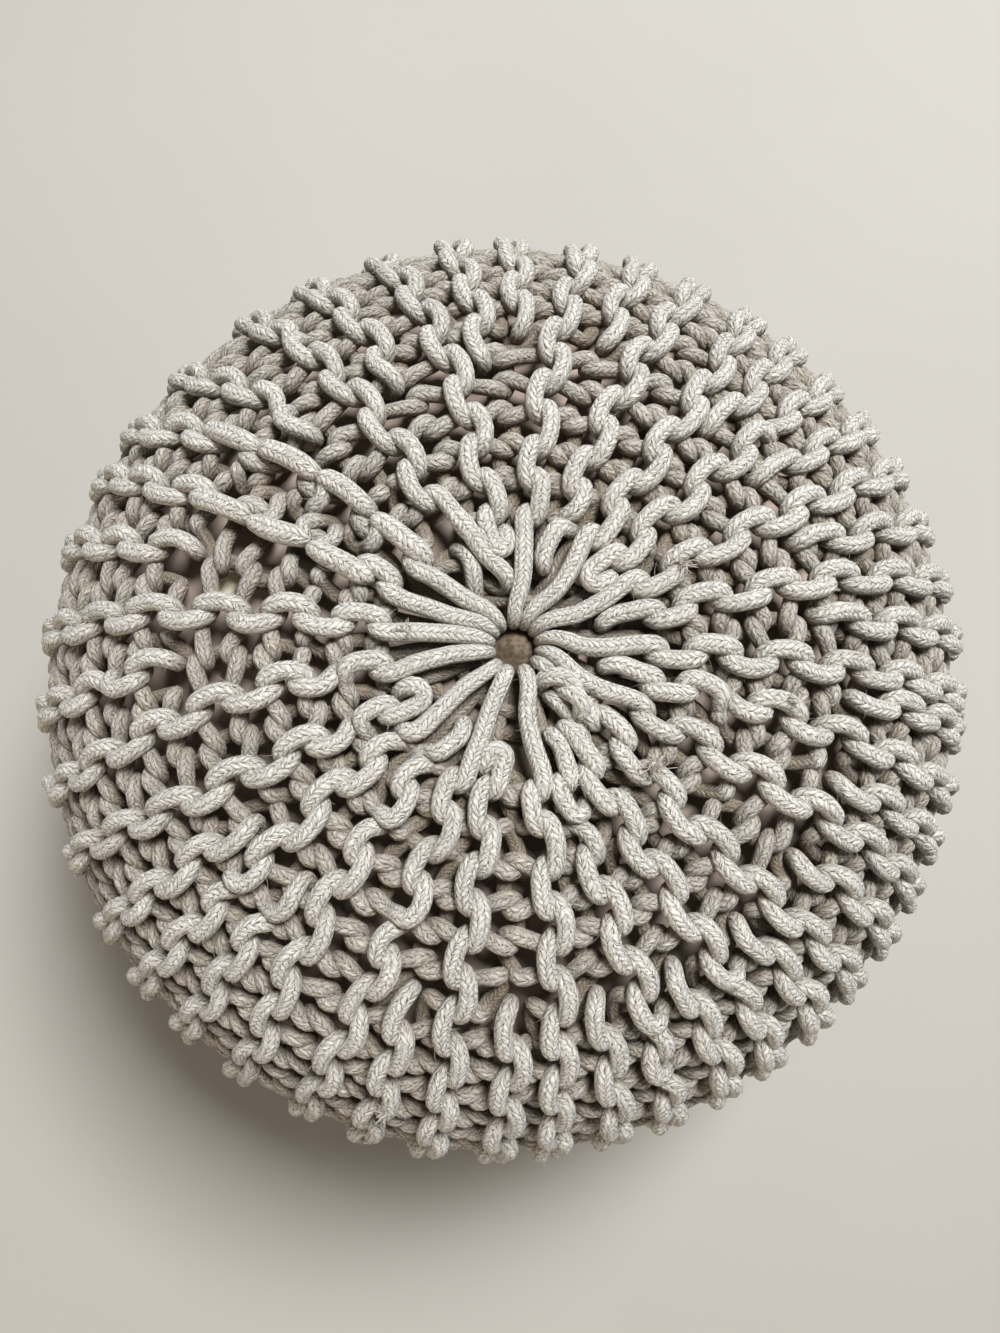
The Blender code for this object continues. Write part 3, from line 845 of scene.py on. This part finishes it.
def braided_cotton(colours):
    """Oatmeal cotton in a round braid: eight columns of slanting strands, leaning by turns left and right,
    so that each pair of columns makes a row of Vs 2.8 mm apart. A strand is two spun yarns. Dull and soft,
    with painted brown shade between yarns, dashes of painted dark shade in the deepest gaps between strands,
    dark flecks of mixed fibre, and painted shade, browner and darker, down in the knit."""
    material, add, place = new_material("braided_oatmeal_cotton_cord")
    around, along, _ = add("SeparateXYZ", add("UVMap", uv_map="along_cord")).node.outputs
    # The strands wander by 0.4 mm, over some 3 mm.
    sway = add("TexNoise", {"Vector": place, "Scale": 330.0, "Detail": 1.0}, output="Color")
    sway = add("SeparateColor", sway).node.outputs
    column = add("Math.MULTIPLY_ADD", around, BRAID_COLUMNS, add("Math.MULTIPLY_ADD", sway[0], 0.60, -0.30))
    number = add("Math.FLOOR", column)
    inside = add("Math.SUBTRACT", add("Math.FRACT", column), 0.5)
    parity = add("Math.FLOORED_MODULO", number, 2.0)
    lean = add("Math.MULTIPLY", inside, add("Math.MULTIPLY_ADD", parity, 2.0, -1.0))
    leaned = add("Math.MULTIPLY_ADD", lean, 1.05, along)
    drawn = add("Math.MULTIPLY_ADD", sway[1], 0.8, leaned)
    slant = add("Math.MULTIPLY_ADD", parity, 0.5, drawn)
    strand = add("Math.FLOOR", slant)
    across = add("Math.SUBTRACT", add("Math.FRACT", slant), 0.5)
    # A strand's rounded top: one minus the squares of how far off its middle a point is, across and along.
    sides = add("Math.MULTIPLY_ADD", add("Math.MULTIPLY", across, across), -3.6, 1.0)
    crown = add("Math.MULTIPLY_ADD", add("Math.MULTIPLY", inside, inside), -1.9, sides)
    # Tufts of fibre, 0.5 mm across the strands and 2 mm round the cord.
    fibre_at = add("CombineXYZ", add("Math.MULTIPLY", column, 1.7), add("Math.MULTIPLY", slant, 5.5), number)
    fibres = add("TexNoise", {"Vector": fibre_at, "Scale": 1.0, "Detail": 2.0, "Roughness": 0.6})
    # Two spun yarns to a strand, 1.4 mm from one to the next, their edges broken up by the fibres.
    wave = add("Math.MULTIPLY_ADD", slant, 4 * math.pi, add("Math.MULTIPLY", fibres, 4.0))
    yarns = add("Math.MULTIPLY_ADD", add("Math.SINE", wave), 0.09, add("Math.MULTIPLY", crown, 0.66))
    relief = add("Math.MULTIPLY_ADD", fibres, 1.0, yarns)
    lit = add("MapRange", {"Value": relief, "From Min": 0.10, "From Max": 1.10}, **SMOOTH)
    chance = add("TexWhiteNoise", add("CombineXYZ", number, strand), noise_dimensions="2D")
    broad = add("TexNoise", {"Vector": place, "Scale": 30.0, "Detail": 2.0})
    # Painted shade by how deep in the knit: none at the crests, and wholly the browner, darker deep colours
    # from 15 mm down.
    deep = add("Attribute", attribute_name="depth_in_knit", output="Fac")
    deep = add("MapRange", {"Value": deep, "From Min": 0.001, "From Max": 0.0150}, **SMOOTH)
    face_with_depth_shade = add("Mix", {0: deep, 6: colours.cord, 7: colours.cord_deep}, **COLOUR)
    painted_gap_shade = add("Mix", {0: deep, 6: colours.cord_shade, 7: colours.cord_dark}, **COLOUR)
    base = add("Mix", {0: lit, 6: painted_gap_shade, 7: face_with_depth_shade}, **COLOUR)
    # Each strand and each tuft is a little lighter or darker, and so is the cord over some 3 cm.
    tone = add("Math.MULTIPLY_ADD", chance, 0.14, add("Math.MULTIPLY_ADD", broad, 0.24, 0.43))
    tone = add("Math.MINIMUM", add("Math.MULTIPLY_ADD", fibres, 0.6, tone), 1.0)
    tone = add("CombineColor", tone, tone, tone)
    toned = add("Mix", {0: 1.0, 6: base, 7: tone}, blend_type="MULTIPLY", **COLOUR)
    # Painted shade: the deepest gaps between strands darken to the fleck colour in dashes; the fibre tufts'
    # low spots add real dark flecks of mixed fibre.
    gap = add("MapRange", {"Value": relief, "From Min": 0.66, "From Max": 0.42, "To Max": 0.95})
    fleck = add("MapRange", {"Value": fibres, "From Min": 0.44, "From Max": 0.36, "To Max": 0.75})
    flecked_and_gap_shaded = add("Mix", {0: add("Math.MAXIMUM", gap, fleck), 6: toned, 7: colours.fleck}, **COLOUR)
    bump = add("Bump", {"Height": relief, "Strength": 1.0, "Distance": 0.0010})
    shader = {"Base Color": flecked_and_gap_shaded, "Roughness": 0.92, "Specular IOR Level": 0.25, "Normal": bump}
    add("OutputMaterial", add("BsdfPrincipled", shader, {"Sheen Weight": 0.20, "Sheen Roughness": 0.5}))
    return material


def spun_fibre(colours):
    """Loose cotton fibres and yarn ends: bleached by wear, dull, each a little lighter or browner."""
    material, add, place = new_material("loose_cotton_fibre")
    mottle = add("TexNoise", {"Vector": place, "Scale": 60.0, "Detail": 2.0})
    base = add("Mix", {0: mottle, 6: colours.cord_deep, 7: colours.cord}, **COLOUR)
    shader = {"Base Color": base, "Roughness": 0.9, "Specular IOR Level": 0.2, "Sheen Weight": 0.2}
    add("OutputMaterial", add("BsdfPrincipled", shader))
    return material


def casing_cloth(sizes, colours):
    """Plain-woven cotton cloth, dyed greyish beige: a fine even weave, its threads drawn 0.8 mm wide so
    that they show, with a soft dull face that is soiled in blots."""
    material, add, place = new_material("plain_woven_casing_cloth")
    threads = add("VectorMath.SCALE", place, {"Scale": 2 * math.pi / 0.0016})
    x, y, z = add("SeparateXYZ", add("VectorMath.SINE", threads)).node.outputs
    weave = add("Math.MULTIPLY", add("Math.MULTIPLY", x, y), add("Math.ADD", z, 1.5))
    blot = add("TexNoise", {"Vector": place, "Scale": 34.0, "Detail": 5.0, "Roughness": 0.6})
    worn = add("MapRange", {"Value": blot, "From Min": 0.35, "From Max": 0.65})
    base = add("Mix", {0: worn, 6: colours.casing_shade, 7: colours.casing}, **COLOUR)
    off = add("VectorMath.DISTANCE", place, PALE_SPOT, output="Value")
    pale = add("MapRange", {"Value": off, "From Min": 0.012, "From Max": 0.008}, **SMOOTH)
    base = add("Mix", {0: pale, 6: base, 7: colours.casing_pale}, **COLOUR)
    # Browned where it stands bare in the eye, in blots of a millimetre or two.
    eye = (TOP_LEAN, EYE_SHIFT, HEIGHT - DIP_DEPTH - sizes.casing_depth)
    off = add("VectorMath.DISTANCE", place, eye, output="Value")
    bare = add("MapRange", {"Value": off, "From Min": 0.022, "From Max": 0.012}, **SMOOTH)
    fine = add("TexNoise", {"Vector": place, "Scale": 420.0, "Detail": 3.0})
    fine = add("MapRange", {"Value": fine, "From Min": 0.38, "From Max": 0.62, "To Min": 0.68})
    stained = add("Mix", {0: add("Math.MULTIPLY", bare, fine), 6: base, 7: colours.casing_stain}, **COLOUR)
    bump = add("Bump", {"Height": weave, "Strength": 0.2, "Distance": 0.00012})
    shader = {"Base Color": stained, "Roughness": 0.9, "Specular IOR Level": 0.2, "Normal": bump}
    add("OutputMaterial", add("BsdfPrincipled", shader, {"Sheen Weight": 0.15}))
    return material


def floor_paint(colours):
    """Smooth matt paint on a studio floor: pale, even, with the faintest mottle."""
    material, add, place = new_material("matt_studio_floor_paint")
    mottle = add("TexNoise", {"Vector": place, "Scale": 3.0, "Detail": 3.0})
    base = add("Mix", {0: mottle, 6: colours.floor, 7: linear(FLOOR_MOTTLE)}, **COLOUR)
    add("OutputMaterial", add("BsdfPrincipled", {"Base Color": base, "Roughness": 0.75}))
    return material


# Settings.

class PoufSizes(bpy.types.PropertyGroup):
    settle_rounds: IntProperty(name="Settling rounds", default=60, min=0, max=400,
                               description="How many rounds the cords push each other apart")
    seed: IntProperty(name="Chance", default=4, min=0,
                      description="Picks the small unevenness of the stitches")
    fuzz: IntProperty(name="Fuzz", default=2600, min=1,
                      description="How many loose fibres stand on the cords")
    casing_depth: FloatProperty(name="Casing depth", default=0.0225, unit="LENGTH", subtype="DISTANCE",
                                description="How far the casing lies under the crests of the knit")
    casing_puff: FloatProperty(name="Casing puff", default=0.005, unit="LENGTH", subtype="DISTANCE",
                               description="How far the filling may push the casing out")


def colour(name, description, code):
    return FloatVectorProperty(name=name, description=description, default=linear(code), subtype="COLOR",
                               size=4, min=0, max=1)


class PoufColours(bpy.types.PropertyGroup):
    cord: colour("Cord", "Lit face of the cotton cord", "EBE5D9")
    cord_shade: colour("Cord shade", "Between the yarns of the braid", "928370")
    # Deep cord and deep shade are painted shade: the cord turns browner and darker by how deep it lies in
    # the knit. Deep cord also mottles the loose fibres.
    cord_deep: colour("Deep cord", "Face of the cord deep in the knit", "9C8C76")
    cord_dark: colour("Deep shade", "Between the yarns deep in the knit", "624E39")
    # The fleck colour also paints shade in the deepest gaps between the braid's strands.
    fleck: colour("Fleck", "Dark fibres in the cotton", "4E4030")
    casing: colour("Casing", "Casing cloth", "AC9A8B")
    casing_shade: colour("Casing shade", "Soiled casing cloth", "86766A")
    casing_stain: colour("Casing stain", "Casing cloth where it stands bare in the eye", "5A4B37")
    casing_pale: colour("Casing, undyed", "The undyed spot of the casing cloth", "F8ECCC")
    floor: colour("Floor", "Studio floor", "B9B3A9")


def finish_piece(obj, material, node):
    obj.data.materials.clear()
    obj.data.materials.append(material)
    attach(obj, "root")
    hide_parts(node)


# Operators.

class POUF_OT_knit(bpy.types.Operator):
    """Knit the cover: 45 ridges of garter stitch in braided cord, gathered on spokes at the eye"""
    bl_idname = "pouf.knit"
    bl_label = "Knitted cover"

    def execute(self, context):
        sizes = context.scene.pouf_sizes
        cords = framed_cords(sizes.settle_rounds, sizes.seed)
        material = braided_cotton(context.scene.pouf_colours)
        edges = np.round(np.linspace(0, len(RIDGES), PANELS + 1)).astype(int)
        groups = {f"knit_panel_{n + 1}": np.arange(edges[n], edges[n + 1]) for n in range(PANELS)}
        groups["gathering_cords"] = np.arange(len(RIDGES), len(RIDGES) + len(GATHERS))
        groups["spoke_knot"] = np.arange(len(RIDGES) + len(GATHERS), len(cords["count"]))
        for name, chosen in groups.items():
            finish_piece(tube_loops(name, cords, chosen), material, "knit_cover")
        return {"FINISHED"}


class POUF_OT_fibres(bpy.types.Operator):
    """Grow the loose fibres: fuzz on the cords' fronts, and frayed yarn ends where a cord was cut"""
    bl_idname = "pouf.fibres"
    bl_label = "Loose fibres"

    def execute(self, context):
        sizes = context.scene.pouf_sizes
        cords, rng = framed_cords(sizes.settle_rounds, sizes.seed), np.random.default_rng(sizes.seed + 1)
        material = spun_fibre(context.scene.pouf_colours)
        for piece in (fuzz(cords, sizes.fuzz, rng), frays(cords, rng)):
            finish_piece(piece, material, "knit_cover")
        return {"FINISHED"}


class POUF_OT_casing(bpy.types.Operator):
    """Fill the casing: a cloth bag puffed out by its filling against the knit"""
    bl_idname = "pouf.casing"
    bl_label = "Filled casing"

    def execute(self, context):
        sizes = context.scene.pouf_sizes
        obj = casing_form(sizes.casing_depth + sizes.casing_puff * 0.5)
        puff(obj, sizes.casing_puff)
        crown_in_eye(obj)
        material = casing_cloth(sizes, context.scene.pouf_colours)
        finish_piece(obj, material, "filled_casing")
        return {"FINISHED"}


class POUF_OT_stage(bpy.types.Operator):
    """Set the stage: a pale floor, soft lights and the camera at the photograph's angle"""
    bl_idname = "pouf.stage"
    bl_label = "Stage"

    def execute(self, context):
        scene, many = context.scene, FLOOR_SQUARES + 1
        side = np.linspace(-FLOOR_REACH, FLOOR_REACH, many)
        places = stacked(side[:, None], side[None], 0.0).reshape(-1, 3)
        corner = (np.arange(FLOOR_SQUARES)[:, None] * many + np.arange(FLOOR_SQUARES)[None]).ravel()
        faces = stacked(corner, corner + many, corner + many + 1, corner + 1)
        floor = mesh_object("studio_floor", places, faces.ravel(), np.full(len(faces), 4))
        floor.data.materials.append(floor_paint(scene.pouf_colours))
        world = bpy.data.worlds.new("soft_surround")
        world.use_nodes = True
        world.node_tree.nodes["Background"].inputs["Color"].default_value = linear(SURROUND)
        world.node_tree.nodes["Background"].inputs["Strength"].default_value = SURROUND_STRENGTH
        scene.world = world
        scene.view_settings.view_transform = "Standard"
        for name, (place, size, power, tint) in LIGHTS.items():
            light = bpy.data.lights.new(name, "AREA")
            light.size, light.energy, light.color = size, power, linear(tint)[:3]
            lamp = bpy.data.objects.new(name, light)
            lamp.location = place
            towards = Vector((0, 0, 0.2)) - lamp.location
            lamp.rotation_euler = towards.to_track_quat("-Z", "Y").to_euler()
            scene.collection.objects.link(lamp)
        lens = bpy.data.cameras.new("photo_camera")
        lens.lens, lens.sensor_width, lens.sensor_fit = LENS, 36.0, "AUTO"
        camera = bpy.data.objects.new("photo_camera", lens)
        camera.location, camera.rotation_euler = CAMERA_PLACE, (math.radians(CAMERA_TILT), 0.0, 0.0)
        scene.collection.objects.link(camera)
        scene.camera = camera
        return {"FINISHED"}


class POUF_PT_panel(bpy.types.Panel):
    bl_idname = "POUF_PT_panel"
    bl_label = "Knitted floor pouf"
    bl_space_type = "VIEW_3D"
    bl_region_type = "UI"
    bl_category = "Pouf"

    def draw(self, context):
        for group in (context.scene.pouf_sizes, context.scene.pouf_colours):
            for name in group.__annotations__:
                self.layout.prop(group, name)
        for operator in OPERATORS:
            self.layout.operator(operator.bl_idname)


OPERATORS = (POUF_OT_knit, POUF_OT_fibres, POUF_OT_casing, POUF_OT_stage)
CLASSES = (PoufSizes, PoufColours, *OPERATORS, POUF_PT_panel)


def register():
    for cls in CLASSES:
        bpy.utils.register_class(cls)
    bpy.types.Scene.pouf_sizes = PointerProperty(type=PoufSizes)
    bpy.types.Scene.pouf_colours = PointerProperty(type=PoufColours)


def unregister():
    del bpy.types.Scene.pouf_sizes, bpy.types.Scene.pouf_colours
    for cls in reversed(CLASSES):
        bpy.utils.unregister_class(cls)


def main():
    register()
    bpy.ops.pouf.knit()
    bpy.ops.pouf.fibres()
    bpy.ops.pouf.casing()
    bpy.ops.pouf.stage()


if __name__ == "__main__":
    main()
